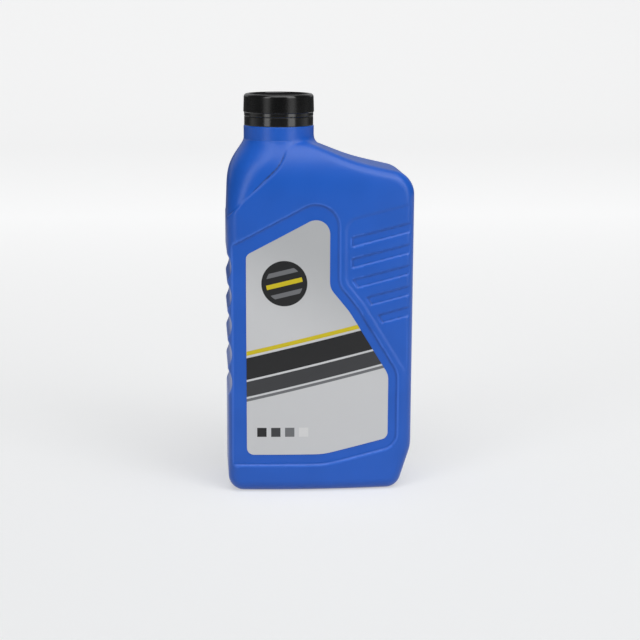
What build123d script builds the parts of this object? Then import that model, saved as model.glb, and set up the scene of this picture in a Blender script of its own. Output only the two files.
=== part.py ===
from build123d import *
import math
import os

# A one-quart blown oil bottle with an offset neck and a screw cap, in millimetres.
# It stands on z = 0 with the middle of its body over the origin and its label facing -Y.

# Body
total_height = 228.0
body_width = 106.4
body_depth = 58.0
wall = 0.9
crown_radius = 500.0
edge_radius = 7.0
edge_finder = 1.0
foot_corner_radius = 9.0
foot_chamfer_width = 8.0
foot_chamfer_height = 25.0
foot_chamfer_radius = 20.0

# Neck, and the S-curve by which it widens into the body on the way down
neck_x = -22.6
collar_radius = 20.05
collar_height = 7.7
shoulder_drop = 34.5
shoulder_curve = [(0.11, 0.20), (0.354, 0.70), (0.557, 0.91)]

# Sloping shoulder on the grip side, as drops below the foot of the neck
shoulder_end_drop = 19.1
shoulder_corner_radius = 14.0
shoulder_knee_x = 19.6
shoulder_knee_drop = 11.3
shoulder_knee_radius = 120.0
shoulder_root_x = -7.0
shoulder_root_drop = 0.5

# Slanted roll of each face towards the far corner, and the hollow curve between neck and shoulder
roll_radius = 10.0
roll_depth = 2.0
roll_slope = -49.0
roll_reach = 12.9
roll_drop = 25.4
root_radius = 12.0
root_setback = 1.6
root_lift = 6.3
root_from = 25.0
root_to = 72.0
root_steps = 4

# Rounded lobe below the neck, and the crease where the body stands proud of it
lobe_side_setback = 0.5
lobe_face_setback = 2.0
lobe_corner_radius = 11.0
lobe_root = 13.0
lobe_neck_roundness = 0.99
crease_x = -18.8
crease_drop = 9.7
crease_slope = 43.6
crease_radius = 24.0

# Neck finish, with the fine thread left plain
bore_radius = 15.4
finish_radius = 17.5
rim_radius = 0.6
throat_height = 2.0
bead_radius = 18.4
bead_height = 1.2
bead_lift = 1.5

# Label, and the recessed panel that holds it, with heights as shares of the straight body
label_left = -42.6
label_left_share = 0.8286
label_bottom = 22.6
label_foot_x = 1.5
label_foot_slope = 13.2
label_right = 38.9
label_right_share = 0.4107
label_waist_x = 4.8
label_waist_share = 0.7161
label_bend_across = 0.666
label_bend_up = 0.725
label_top_slope = 27.9
label_corner_radius = 4.0
label_bend_radius = 40.0
label_waist_radius = 10.0
label_peak_radius = 8.0
label_thickness = 0.2
glue_thickness = 0.05
panel_depth = 1.1
panel_top_margin = 8.5
panel_side_margin = 5.2
panel_foot_margin = 6.2

# Slanted grip grooves, in a panel across a raised rib from the label
rib_width = 3.8
grip_depth = 0.5
grip_top_share = 0.9833
grip_corner_radius = 8.0
groove_x = 40.0
groove_first_share = 0.903
groove_count = 5
groove_pitch_share = 0.072
groove_slope = 13.5
groove_width = 5.4
groove_depth = 0.9
groove_margin = 3.4

# Finger scallops down the other edge
scallop_count = 5
scallop_pitch_share = 0.0994
scallop_first_share = 0.7845
scallop_radius = 13.0
scallop_depth = 2.3

# Pushed-up base
push_up = 2.5
push_up_corner_radius = 10.0
push_up_draft = 40.0
foot_ring_width = 7.0

# Screw cap and its liner
cap_height = 12.4
cap_rim_radius = 19.75
cap_rim_height = 2.0
cap_step = 0.3
cap_radius = 20.15
cap_top_radius = 19.85
cap_edge_radius = 2.8
cap_top_thickness = 1.6
cap_dish_radius = 16.4
cap_dish_width = 0.6
cap_dish_depth = 0.6
cap_bore_radius = 18.9
liner_radius = 18.5
liner_thickness = 1.0

# Tamper band left on the neck, hooked under the bead
band_height = 4.7
band_gap = 0.7
band_radius = 19.7
band_bore_radius = 18.7
band_bevel = 0.4
lip_bore_radius = 17.8
lip_height = 1.0
bridge_count = 10
bridge_width = 1.0
bridge_inset = 0.3
bridge_clearance = 0.15

# Worked out from the sizes above
half_width = body_width / 2
half_depth = body_depth / 2
lobe_half_width = half_width + neck_x - lobe_side_setback
lobe_half_depth = half_depth - lobe_face_setback
rim_height = total_height - cap_top_thickness - liner_thickness
cap_bottom = total_height - cap_height
band_top = cap_bottom - band_gap
collar_top = band_top - band_height
flare_height = collar_top - collar_height
straight_height = flare_height - shoulder_drop
cutter_reach = edge_radius


def on_front(sketch):
    """Stand a flat sketch up in the front view, with its y as height."""
    return Plane.XZ * sketch


def rounded(points, radii):
    """Close a polygon with its own radius at each corner."""
    return make_face(FilletPolyline(*points, radius=radii, close=True))


def both_faces(solid):
    """The solid with its copy on the back of the bottle."""
    return [solid, mirror(solid, Plane.XZ)]


def meet(point_a, slope_a, point_b, slope_b):
    """Crossing of two lines in the front view, each given by a point and a slope in degrees."""
    ax, ay = math.cos(math.radians(slope_a)), math.sin(math.radians(slope_a))
    bx, by = math.cos(math.radians(slope_b)), math.sin(math.radians(slope_b))
    dx, dy = point_b[0] - point_a[0], point_b[1] - point_a[1]
    along = (dx * by - dy * bx) / (ax * by - ay * bx)
    return (point_a[0] + along * ax, point_a[1] + along * ay)


def slope_between(start, end):
    """Slope in degrees of the line from one point of the front view to another."""
    return math.degrees(math.atan2(end[1] - start[1], end[0] - start[0]))


def shoulder_rows(half_size):
    """Heights and half sizes of the S-curve from a body half size up to the collar."""
    widening = half_size - collar_radius
    rows = [
        (flare_height - down * shoulder_drop, collar_radius + out * widening)
        for down, out in shoulder_curve
    ]
    return [(flare_height, collar_radius), *rows, (straight_height, half_size)]


def drum(inset):
    """All that lies behind the front face, which is crowned across and leans back to the neck."""
    set_back = crown_radius - half_depth - inset
    low = -cutter_reach
    lean = Spline(
        [(set_back + half, height) for height, half in reversed(shoulder_rows(half_depth))],
        tangents=[(0, 1), (0, 1)],
    )
    foot = (crown_radius - inset, low)
    edges = [
        Line((0, low), foot),
        Line(foot, lean @ 0),
        lean,
        Line(lean @ 1, (0, flare_height)),
        Line((0, flare_height), (0, low)),
    ]
    return Pos(0, crown_radius - half_depth, 0) * revolve(on_front(make_face(Curve() + edges)), Axis.Z)


def body_block(inset):
    """Body without its lobe: the front outline between two crowned faces, rounded all round."""
    root_height = flare_height - shoulder_root_drop
    corners = [
        ((-half_width, 0), foot_corner_radius),
        ((half_width - foot_chamfer_width, 0), foot_corner_radius),
        ((half_width, foot_chamfer_height), foot_chamfer_radius),
        ((half_width, flare_height - shoulder_end_drop), shoulder_corner_radius),
        ((shoulder_knee_x, flare_height - shoulder_knee_drop), shoulder_knee_radius),
        ((shoulder_root_x, root_height), foot_corner_radius),
        ((-half_width, root_height), shoulder_corner_radius),
    ]
    outline = offset(rounded([point for point, _ in corners], [radius for _, radius in corners]), -inset)
    face = drum(inset)
    block = extrude(on_front(outline), half_depth, both=True) & face & mirror(face, Plane.XZ)
    rim = [edge for edge in block.edges() if is_rim(edge)]
    block = fillet(rim, edge_radius - inset)
    roll = corner_roll(inset)
    block = block & roll & mirror(roll, Plane.XZ)
    return block - extrude(on_front(above_crease(inset)), half_depth, both=True)


def is_rim(edge):
    """Whether an edge runs round the front or the back face of the body block."""
    middle = edge.center()
    crosses_face = edge.geom_type == GeomType.CIRCLE and abs(middle.Z - straight_height) < edge_finder
    return abs(middle.Y) > edge_radius and not crosses_face


def corner_roll(inset):
    """All that lies behind the roll by which the front face turns in at the corner of the shoulder."""
    along = (math.cos(math.radians(roll_slope)), 0, math.sin(math.radians(roll_slope)))
    start = (half_width - roll_reach, roll_depth - half_depth, flare_height - roll_drop)
    bend = CenterArc((roll_radius, 0), roll_radius - inset, 180, -90)
    lead = -total_height
    far = (body_depth, roll_radius - inset)
    corners = [bend @ 1, far, (far[0], lead), (lead, lead), bend @ 0]
    section = make_face(Curve() + [bend, Polyline(*corners)])
    return extrude(Plane(origin=start, x_dir=(0, 1, 0), z_dir=along) * section, total_height, both=True)


def neck_root(inset):
    """Hollow curve on the grip side, by which the neck runs out into the sloping shoulder."""
    left = collar_radius - root_setback - inset
    sections = []
    for step in range(root_steps + 1):
        turn = math.radians(root_from + (root_to - root_from) * step / root_steps)
        right = left + root_radius * (1 - math.cos(turn))
        height = flare_height + root_lift - root_radius * math.sin(turn)
        middle = neck_x + (right - left) / 2
        sections.append(Pos(middle, 0, height) * Ellipse((right + left) / 2, left))
    return loft(sections)


def above_crease(inset):
    """Front view of what the lobe replaces on the body block."""
    turn = (crease_x, flare_height - crease_drop)
    far = -half_width - cutter_reach
    points = [(crease_x, collar_top), turn, meet(turn, crease_slope, (far, 0), 90), (far, collar_top)]
    return offset(rounded(points, [0, crease_radius, 0, 0]), inset)


def lobe(inset):
    """Shoulder that widens from the round neck to a rounded rectangle."""
    wide = shoulder_rows(lobe_half_width)
    deep = shoulder_rows(lobe_half_depth)
    sections = []
    for (height, half_x), (_, half_y) in zip(wide, deep):
        share = (flare_height - height) / shoulder_drop
        corner = (1 - share) * half_y + share * lobe_corner_radius - inset
        sections.append((height, half_x - inset, half_y - inset, corner))
    sections.append((straight_height - lobe_root, *sections[-1][1:]))
    return loft([
        Pos(neck_x, 0, height) * RectangleRounded(2 * x, 2 * y, lobe_neck_roundness * corner)
        for height, x, y, corner in sections
    ])


def panel_lines(top, side, foot):
    """Edges of the label as points and slopes, each moved out by its margin."""
    foot_start = (label_foot_x, label_bottom)
    right_top = (label_right, label_right_share * straight_height)
    waist = (label_waist_x, label_waist_share * straight_height)
    bend_x = right_top[0] + label_bend_across * (waist[0] - right_top[0])
    bend = (bend_x, right_top[1] + label_bend_up * (waist[1] - right_top[1]))
    left_top = (label_left, label_left_share * straight_height)

    def moved(point, slope, margin):
        across = math.radians(slope - 90)
        return ((point[0] + margin * math.cos(across), point[1] + margin * math.sin(across)), slope)

    return {
        "bottom": moved(foot_start, 0, foot),
        "foot": moved(foot_start, label_foot_slope, foot),
        "right": moved(right_top, 90, side),
        "low": moved(right_top, slope_between(right_top, bend), side),
        "high": moved(waist, slope_between(bend, waist), side),
        "waist": moved(waist, 90, side),
        "top": moved(left_top, 180 + label_top_slope, top),
    }


def panel_outline(left, top, side, foot):
    """Front view of the label, or of the panel round it, moved out by the margins."""
    lines = panel_lines(top, side, foot)
    edge = ((left, 0), 90)
    corners = [
        (meet(*edge, *lines["bottom"]), label_corner_radius),
        (meet(*lines["bottom"], *lines["foot"]), label_bend_radius),
        (meet(*lines["foot"], *lines["right"]), label_corner_radius + side),
        (meet(*lines["right"], *lines["low"]), label_waist_radius + side),
        (meet(*lines["low"], *lines["high"]), label_bend_radius),
        (meet(*lines["high"], *lines["waist"]), label_waist_radius),
        (meet(*lines["waist"], *lines["top"]), label_peak_radius + side),
        (meet(*lines["top"], *edge), label_corner_radius),
    ]
    return rounded([point for point, _ in corners], [radius for _, radius in corners])


def grip_outline():
    """Front view of the grooved panel, open towards the edge of the body."""
    lines = panel_lines(0, panel_side_margin + rib_width, 0)
    edge = ((half_width + cutter_reach, 0), 90)
    top = ((groove_x, grip_top_share * straight_height), groove_slope)
    corners = [
        (meet(*lines["waist"], *top), grip_corner_radius),
        (meet(*edge, *top), 0),
        (meet(*edge, *lines["low"]), 0),
        (meet(*lines["low"], *lines["high"]), label_bend_radius),
        (meet(*lines["high"], *lines["waist"]), label_waist_radius),
    ]
    return rounded([point for point, _ in corners], [radius for _, radius in corners])


def groove_outlines():
    """Front view of the grip grooves."""
    inner = offset(grip_outline(), -groove_margin)
    bars = Sketch()
    for step in range(groove_count):
        height = (groove_first_share - step * groove_pitch_share) * straight_height
        middle = Pos(groove_x, height)
        bars += middle * Rot(0, 0, groove_slope) * Rectangle(body_width, groove_width)
    return bars & inner


def pocket(outline, depth, inset):
    """Cutter that sinks an outline to an even depth below the front face."""
    column = extrude(on_front(offset(outline, inset)), half_depth)
    return column - drum(depth + inset)


def scallop(step, inset):
    """Cutter for one finger scallop."""
    middle_x = -half_width + scallop_depth - scallop_radius
    height = (scallop_first_share - step * scallop_pitch_share) * straight_height
    middle = Pos(middle_x, 0, height)
    return middle * Rot(90, 0, 0) * Cylinder(scallop_radius + inset, body_depth)


def base_cutter(inset):
    """Cutter that pushes up the middle of the base."""
    margin = edge_radius + foot_ring_width
    length = body_width - foot_chamfer_width - 2 * margin
    width = body_depth - 2 * margin
    outline = RectangleRounded(length + 2 * inset, width + 2 * inset, push_up_corner_radius)
    return extrude(Pos(-foot_chamfer_width / 2, 0) * outline, push_up + inset, taper=push_up_draft)


def bottle_form(inset):
    """Outside of the blown body, or with an inset the inside of its wall."""
    form = body_block(inset) + lobe(inset) + neck_root(inset)
    margins = (panel_top_margin, panel_side_margin, panel_foot_margin)
    panel = panel_outline(-half_width - cutter_reach, *margins)
    cutters = both_faces(pocket(panel, panel_depth, inset))
    cutters += both_faces(pocket(grip_outline(), grip_depth, inset))
    cutters += both_faces(pocket(groove_outlines(), grip_depth + groove_depth, inset))
    cutters += [scallop(step, inset) for step in range(scallop_count)]
    return form - cutters - base_cutter(inset)


def upright(radius, bottom, top):
    """Cylinder on the neck axis between two heights."""
    return Pos(neck_x, 0, (bottom + top) / 2) * Cylinder(radius, top - bottom)


def make_bottle():
    """Blown bottle with its neck finish, hollow and open at the mouth."""
    lip = upright(finish_radius, collar_top, rim_height)
    lip = fillet(lip.edges().group_by(Axis.Z)[-1], rim_radius)
    bead_bottom = collar_top + bead_lift
    bead = upright(bead_radius, bead_bottom, bead_bottom + bead_height)
    bead = chamfer(bead.edges().group_by(Axis.Z)[-1], bead_radius - finish_radius)
    solid = bottle_form(0) + upright(collar_radius, flare_height, collar_top) + lip + bead
    throat = collar_top - throat_height - flare_height
    cone = Cone(collar_radius - wall, bore_radius, throat)
    cavity = bottle_form(wall) + Pos(neck_x, 0, flare_height + throat / 2) * cone
    cavity += upright(bore_radius, flare_height + throat, rim_height)
    return solid - cavity


def make_cap():
    """Screw cap, with a smooth rim below its tapered skirt and a slightly sunk top."""
    rim_top = cap_bottom + cap_rim_height
    ceiling = total_height - cap_top_thickness
    corners = [
        (cap_bore_radius, cap_bottom),
        (cap_rim_radius, cap_bottom),
        (cap_rim_radius, rim_top),
        (cap_radius, rim_top + cap_step),
        (cap_top_radius, total_height),
        (cap_dish_radius, total_height),
        (cap_dish_radius - cap_dish_width, total_height - cap_dish_depth),
        (0, total_height - cap_dish_depth),
        (0, ceiling),
        (cap_bore_radius, ceiling),
    ]
    section = make_face(Polyline(*corners, close=True))
    shoulder = section.vertices().sort_by_distance((cap_top_radius, total_height))[0]
    section = fillet(shoulder, cap_edge_radius)
    return Pos(neck_x, 0, 0) * revolve(on_front(section), Axis.Z)


def make_liner():
    """Sealing disc between the cap and the rim of the neck."""
    return upright(liner_radius, rim_height, rim_height + liner_thickness)


def make_band():
    """Tamper band on the collar, with the stubs of its bridges."""
    corners = [
        (lip_bore_radius, collar_top),
        (band_radius - band_bevel, collar_top),
        (band_radius, collar_top + band_bevel),
        (band_radius, band_top),
        (band_bore_radius, band_top),
        (band_bore_radius, collar_top + lip_height),
        (lip_bore_radius, collar_top + lip_height),
    ]
    ring = revolve(on_front(make_face(Polyline(*corners, close=True))), Axis.Z)
    depth = band_radius - band_bore_radius - 2 * bridge_inset
    height = band_gap - bridge_clearance
    stub = Box(depth, bridge_width, height, align=(Align.CENTER, Align.CENTER, Align.MIN))
    middle = (band_radius + band_bore_radius) / 2
    ring += [Pos(0, 0, band_top) * place * stub for place in PolarLocations(middle, bridge_count)]
    return Pos(neck_x, 0, 0) * ring


def make_label():
    """Thin label that follows the floor of its panel."""
    column = extrude(on_front(panel_outline(label_left, 0, 0, 0)), half_depth)
    back = panel_depth - glue_thickness
    return column & drum(back - label_thickness) - drum(back)


pieces = {
    "bottle": make_bottle(),
    "screw_cap": make_cap(),
    "cap_liner": make_liner(),
    "tamper_band": make_band(),
    "front_label": make_label(),
}

os.makedirs("parts", exist_ok=True)
for name, piece in pieces.items():
    export_step(piece, f"parts/{name}.step")
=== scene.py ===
import logging
import math
from dataclasses import dataclass, field, replace
from enum import Enum
from typing import Self

import bmesh
import bpy
from mathutils import Matrix, Vector


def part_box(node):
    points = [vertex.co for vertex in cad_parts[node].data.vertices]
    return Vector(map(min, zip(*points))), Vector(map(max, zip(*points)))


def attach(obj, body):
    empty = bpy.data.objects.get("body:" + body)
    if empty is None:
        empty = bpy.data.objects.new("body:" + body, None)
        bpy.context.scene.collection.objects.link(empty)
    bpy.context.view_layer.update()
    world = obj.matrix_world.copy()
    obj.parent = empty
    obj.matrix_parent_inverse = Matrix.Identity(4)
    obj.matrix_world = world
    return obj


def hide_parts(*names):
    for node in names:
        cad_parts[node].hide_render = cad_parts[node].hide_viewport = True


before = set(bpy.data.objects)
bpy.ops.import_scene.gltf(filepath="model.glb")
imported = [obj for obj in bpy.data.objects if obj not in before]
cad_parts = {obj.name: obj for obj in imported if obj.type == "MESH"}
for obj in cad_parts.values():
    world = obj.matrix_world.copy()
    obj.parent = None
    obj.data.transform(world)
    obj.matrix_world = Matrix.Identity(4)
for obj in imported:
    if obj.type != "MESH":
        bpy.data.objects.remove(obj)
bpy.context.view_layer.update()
MM = 0.001
# Attribute of the bottle's skin that holds its painted light, taken from how sharply it bends:
# above 0 a painted highlight on outward edges, below 0 painted shade in inward bends
PAINTED_EDGE_LIGHT = "bend"
# Distance of the points that hold a flat beside a rounded corner
HOLD = 0.05 * MM
# Distance below which two points are one
SPECK = 1e-6
# Distance below which a point lies on a cutting plane
ON_PLANE = 1e-7
# Where most values of a noise node lie
NOISE_RANGE = (0.3, 0.7)
log = logging.getLogger("oil_bottle")

Socket = bpy.types.NodeSocket
Node = bpy.types.Node
Tree = bpy.types.NodeTree
Material = bpy.types.Material
Piece = bpy.types.Object
BMesh = bmesh.types.BMesh
Point = tuple[float, float]
Corner = tuple[Point, float]
Colour = tuple[float, float, float]
Look = tuple[Socket, Socket, Socket]


class Ink(Enum):
    """Print colours of the label, as linear RGB."""

    BLACK = (0.007, 0.007, 0.008)
    CHARCOAL = (0.040, 0.041, 0.045)
    GREY = (0.170, 0.175, 0.185)
    YELLOW = (0.700, 0.560, 0.012)
    WHITE = (0.800, 0.800, 0.800)


class Skin(Enum):
    """The two skins of a hollow or thin piece."""

    OUTER = "outer"
    INNER = "inner"


class SocketKind(Enum):
    """Types of the sockets of a node group."""

    FLOAT = "NodeSocketFloat"
    INT = "NodeSocketInt"
    VECTOR = "NodeSocketVector"
    MATERIAL = "NodeSocketMaterial"
    GEOMETRY = "NodeSocketGeometry"

    def named(self, *names: str) -> "Sockets":
        """Sockets of this type with the given names."""
        return dict.fromkeys(names, self)


Sockets = dict[str, SocketKind]


def rgba(colour: Colour) -> tuple[float, float, float, float]:
    """The colour with full opacity."""
    return (*colour, 1.0)


def smooth_step(start: float, end: float, value: float) -> float:
    """Smooth rise from 0 to 1.

    Args:
        start: Where the rise begins.
        end: Where it is complete.
        value: Where it is read.

    Returns:
        The height of the rise.
    """
    share = min(max((value - start) / (end - start), 0.0), 1.0)
    return share * share * (3 - 2 * share)


class NodeBoard:
    """Short calls that add nodes to one tree and join them."""

    def __init__(self, tree: Tree) -> None:
        """Work on the given tree."""
        self.tree = tree

    def feed(self, target: Socket, value: object) -> None:
        """Link a socket to an input, or set the input to a plain value.

        Args:
            target: The input socket.
            value: An output socket of another node, or a value.
        """
        if isinstance(value, Socket):
            self.tree.links.new(value, target)
        else:
            target.default_value = value

    def add(
        self, kind: str, inputs: dict[str | int, object] | None = None, **settings: object
    ) -> Node:
        """Add one node.

        Args:
            kind: The node's type name.
            inputs: Links or values for its inputs, by name or place.
            settings: Properties to set on the node first.

        Returns:
            The new node.
        """
        node = self.tree.nodes.new(kind)
        for key, value in settings.items():
            setattr(node, key, value)
        for key, value in (inputs or {}).items():
            self.feed(node.inputs[key], value)
        return node

    def math(self, operation: str, *values: object) -> Socket:
        """Result of one Math node on links or numbers."""
        return self.add("ShaderNodeMath", dict(enumerate(values)), operation=operation).outputs[0]

    def blend(self, factor: object, low: object, high: object) -> Socket:
        """Mix of two colours, where the factor is the share of the second."""
        inputs = {0: factor, 6: low, 7: high}
        return self.add("ShaderNodeMix", inputs, data_type="RGBA").outputs[2]

    def ramp(self, value: object, start: object, end: object, low: object, high: object) -> Socket:
        """Smooth step of a value, from low before the start to high after the end.

        Args:
            value: What the step reads.
            start: Where the step begins.
            end: Where the step ends.
            low: Result before the step.
            high: Result after the step.

        Returns:
            The stepped number.
        """
        names = ("Value", "From Min", "From Max", "To Min", "To Max")
        inputs = dict(zip(names, (value, start, end, low, high)))
        node = self.add("ShaderNodeMapRange", inputs, interpolation_type="SMOOTHSTEP")
        return node.outputs["Result"]


@dataclass(frozen=True)
class Group:
    """A node group that is being built, with its two ends."""

    board: NodeBoard
    inputs: Node
    outputs: Node

    @classmethod
    def new(cls, name: str, kind: str, takes: Sockets, gives: Sockets) -> Self:
        """Start a group with named sockets.

        Args:
            name: Name of the group.
            kind: Type of its tree.
            takes: Its inputs.
            gives: Its outputs.

        Returns:
            The empty group.
        """
        tree = bpy.data.node_groups.new(name, kind)
        for way, sockets in (("INPUT", takes), ("OUTPUT", gives)):
            for label, socket in sockets.items():
                tree.interface.new_socket(name=label, in_out=way, socket_type=socket.value)
        board = NodeBoard(tree)
        return cls(board, board.add("NodeGroupInput"), board.add("NodeGroupOutput"))

    def take(self, name: str) -> Socket:
        """The group's input of that name, as a source of links."""
        return self.inputs.outputs[name]

    def give(self, name: str, value: Socket) -> None:
        """Send a value to the group's output of that name."""
        self.board.feed(self.outputs.inputs[name], value)


class PrintGroup(Group):
    """A shader group whose mask is 1 inside a shape of ink in the plane of the label."""

    @classmethod
    def start(cls, name: str, *sizes: str) -> Self:
        """Start the group of a shape that takes the given sizes.

        Args:
            name: Name of the group.
            sizes: Names of the sizes.

        Returns:
            The empty group.
        """
        places = SocketKind.VECTOR.named("Position", "Centre")
        numbers = SocketKind.FLOAT.named(*sizes, "Edge")
        return cls.new(name, "ShaderNodeTree", places | numbers, SocketKind.FLOAT.named("Mask"))

    def axes(self, position: Socket) -> Node:
        """Take the way from the centre to a position apart.

        Args:
            position: The position.

        Returns:
            The node that gives the axes.
        """
        inputs = {0: position, 1: self.take("Centre")}
        way = self.board.add("ShaderNodeVectorMath", inputs, operation="SUBTRACT")
        return self.board.add("ShaderNodeSeparateXYZ", {"Vector": way.outputs[0]})

    def finish(self, outside: Socket) -> Tree:
        """End the group with a mask that falls across its soft edge.

        Args:
            outside: How far a place lies outside the shape.

        Returns:
            The finished tree.
        """
        edge = self.take("Edge")
        inside = self.board.math("MULTIPLY", edge, -1.0)
        self.give("Mask", self.board.ramp(outside, inside, edge, 1.0, 0.0))
        return self.board.tree


def moulded_surface_group() -> Tree:
    """Shader group for moulded plastic: slow waves of the wall, fine grain, and gloss that varies.

    Returns:
        The node group.
    """
    numbers = ("Wave Scale", "Grain Scale", "Grain Share", "Gloss Low", "Gloss High")
    group = Group.new(
        "moulded_surface",
        "ShaderNodeTree",
        SocketKind.VECTOR.named("Position") | SocketKind.FLOAT.named(*numbers),
        SocketKind.FLOAT.named("Height", "Roughness", "Tone"),
    )
    board, take = group.board, group.take
    noises = []
    for scale, detail, roughness in (("Wave Scale", 1.0, 0.4), ("Grain Scale", 2.0, 0.6)):
        inputs = {"Vector": take("Position"), "Scale": take(scale)}
        inputs |= {"Detail": detail, "Roughness": roughness}
        noises.append(board.add("ShaderNodeTexNoise", inputs).outputs["Fac"])
    wave, grain = noises
    fine = board.math("MULTIPLY", grain, take("Grain Share"))
    gloss = board.ramp(grain, *NOISE_RANGE, take("Gloss Low"), take("Gloss High"))
    group.give("Height", board.math("ADD", wave, fine))
    group.give("Roughness", gloss)
    group.give("Tone", wave)
    return board.tree


def print_bar_group() -> Tree:
    """Shader group for a straight bar of ink.

    Returns:
        The node group.
    """
    group = PrintGroup.start("print_bar", "Slope", "Half Length", "Half Height")
    board, take = group.board, group.take
    inputs = {"Vector": take("Position"), "Center": take("Centre"), "Angle": take("Slope")}
    turned = board.add("ShaderNodeVectorRotate", inputs, rotation_type="Y_AXIS")
    axes = group.axes(turned.outputs[0]).outputs
    beyond = [
        board.math("SUBTRACT", board.math("ABSOLUTE", axes[axis]), take(half))
        for axis, half in (("X", "Half Length"), ("Z", "Half Height"))
    ]
    return group.finish(board.math("MAXIMUM", *beyond))


def print_disc_group() -> Tree:
    """Shader group for a round spot of ink.

    Returns:
        The node group.
    """
    group = PrintGroup.start("print_disc", "Radius")
    board = group.board
    axes = group.axes(group.take("Position")).outputs
    squares = [board.math("MULTIPLY", axes[name], axes[name]) for name in ("X", "Z")]
    reach = board.math("SQRT", board.math("ADD", *squares))
    return group.finish(board.math("SUBTRACT", reach, group.take("Radius")))


@dataclass(frozen=True)
class ShaderKit:
    """The shader groups that the finishes share."""

    surface: Tree
    bar: Tree
    disc: Tree

    @classmethod
    def build(cls) -> Self:
        """Build every shared group once."""
        return cls(moulded_surface_group(), print_bar_group(), print_disc_group())


@dataclass(frozen=True)
class Draft:
    """A material that is being built on object coordinates."""

    material: Material
    board: NodeBoard
    position: Socket

    @classmethod
    def start(cls, name: str) -> Self:
        """Start a material.

        Args:
            name: Name of the material.

        Returns:
            The material with its shader node alone.
        """
        material = bpy.data.materials.new(name)
        material.use_nodes = True
        board = NodeBoard(material.node_tree)
        return cls(material, board, board.add("ShaderNodeTexCoord").outputs["Object"])

    def finish(self, values: dict[str, object]) -> Material:
        """Link or set the inputs of the shader node.

        Args:
            values: Links or values by the name of the input.

        Returns:
            The finished material.
        """
        shader = self.board.tree.nodes["Principled BSDF"]
        for name, value in values.items():
            self.board.feed(shader.inputs[name], value)
        return self.material


@dataclass(frozen=True, kw_only=True)
class Finish:
    """What every finish has: a range of gloss, and a surface of slow waves and fine grain."""

    name: str
    gloss: Point
    wave_size: float
    grain_size: float
    grain_share: float
    relief: float
    specular: float = 0.5

    def look(self, draft: Draft, kit: ShaderKit, surface: Node) -> Look:
        """Colour, roughness and height, which each kind of finish makes in its own way."""
        raise NotImplementedError

    def material(self, kit: ShaderKit) -> Material:
        """Build the material.

        Args:
            kit: The shared shader groups.

        Returns:
            The material.
        """
        draft = Draft.start(self.name)
        inputs = {
            "Position": draft.position,
            "Wave Scale": 1 / self.wave_size,
            "Grain Scale": 1 / self.grain_size,
            "Grain Share": self.grain_share,
            "Gloss Low": self.gloss[0],
            "Gloss High": self.gloss[1],
        }
        surface = draft.board.add("ShaderNodeGroup", inputs, node_tree=kit.surface)
        colour, roughness, height = self.look(draft, kit, surface)
        inputs = {"Strength": 1.0, "Distance": self.relief, "Height": height}
        bump = draft.board.add("ShaderNodeBump", inputs)
        values = {
            "Base Color": colour,
            "Roughness": roughness,
            "Normal": bump.outputs["Normal"],
            "Specular IOR Level": self.specular,
        }
        return draft.finish(values)


@dataclass(frozen=True, kw_only=True)
class MouldedPlastic(Finish):
    """Finish of a moulded or blown plastic piece."""

    deep: Colour
    pale: Colour
    seam_width: float = 0.0
    seam_height: float = 0.0
    neck_line: float = 0.0
    neck_line_end: float = 0.0
    # Colours of a painted highlight on outward edges (lip) and of painted shade in hollows,
    # creases and grooves (hollow)
    lip: Colour | None = None
    hollow: Colour | None = None

    def seams(self, draft: Draft) -> Socket:
        """Height of the parting line and of the line round the neck.

        Args:
            draft: The material.

        Returns:
            The height.
        """
        board, width, height = draft.board, self.seam_width, self.seam_height
        axes = board.add("ShaderNodeSeparateXYZ", {"Vector": draft.position}).outputs
        seam = board.ramp(board.math("ABSOLUTE", axes["Y"]), 0.0, width, height, 0.0)
        away = board.math("ABSOLUTE", board.math("SUBTRACT", axes["Z"], self.neck_line))
        line = board.ramp(away, 0.0, width, -height, 0.0)
        side = board.ramp(axes["X"], self.neck_line_end - width, self.neck_line_end, 1.0, 0.0)
        return board.math("ADD", seam, board.math("MULTIPLY", line, side))

    def look(self, draft: Draft, kit: ShaderKit, surface: Node) -> Look:
        """Make the colour, with paler lips as a painted highlight and darker hollows as painted
        shade where it has them, and the seams.

        Args:
            draft: The material.
            kit: Not used.
            surface: The moulded surface.

        Returns:
            Colour, roughness and height.
        """
        board, height = draft.board, surface.outputs["Height"]
        if self.seam_width:
            height = board.math("ADD", height, self.seams(draft))
        tone = board.ramp(surface.outputs["Tone"], *NOISE_RANGE, 0.0, 1.0)
        colour = board.blend(tone, rgba(self.deep), rgba(self.pale))
        # Painted highlight on outward edges and painted shade in hollows, read from the skin's
        # painted-light attribute
        if self.lip and self.hollow:
            bend = board.add("ShaderNodeAttribute", attribute_name=PAINTED_EDGE_LIGHT).outputs["Fac"]
            colour = board.blend(board.ramp(bend, 0.0, 1.0, 0.0, 1.0), colour, rgba(self.lip))
            colour = board.blend(board.ramp(bend, -1.0, 0.0, 1.0, 0.0), colour, rgba(self.hollow))
        return colour, surface.outputs["Roughness"], height


@dataclass(frozen=True)
class Press:
    """What prints the shapes of ink into one material."""

    draft: Draft
    kit: ShaderKit
    edge: float

    def mask(self, tree: Tree, centre: Point, sizes: dict[str, float]) -> Socket:
        """Mask of one shape.

        Args:
            tree: The shader group of the shape.
            centre: Its place on the label, in millimetres.
            sizes: Its sizes, as the group names them.

        Returns:
            The mask.
        """
        place = (centre[0] * MM, 0.0, centre[1] * MM)
        inputs = {"Position": self.draft.position, "Centre": place, "Edge": self.edge, **sizes}
        return self.draft.board.add("ShaderNodeGroup", inputs, node_tree=tree).outputs["Mask"]


@dataclass(frozen=True)
class Disc:
    """A round spot of ink, with its place on the label in millimetres."""

    centre: Point
    radius: float
    ink: Ink

    def mask(self, press: Press) -> Socket:
        """Mask of the spot."""
        return press.mask(press.kit.disc, self.centre, {"Radius": self.radius * MM})


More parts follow.
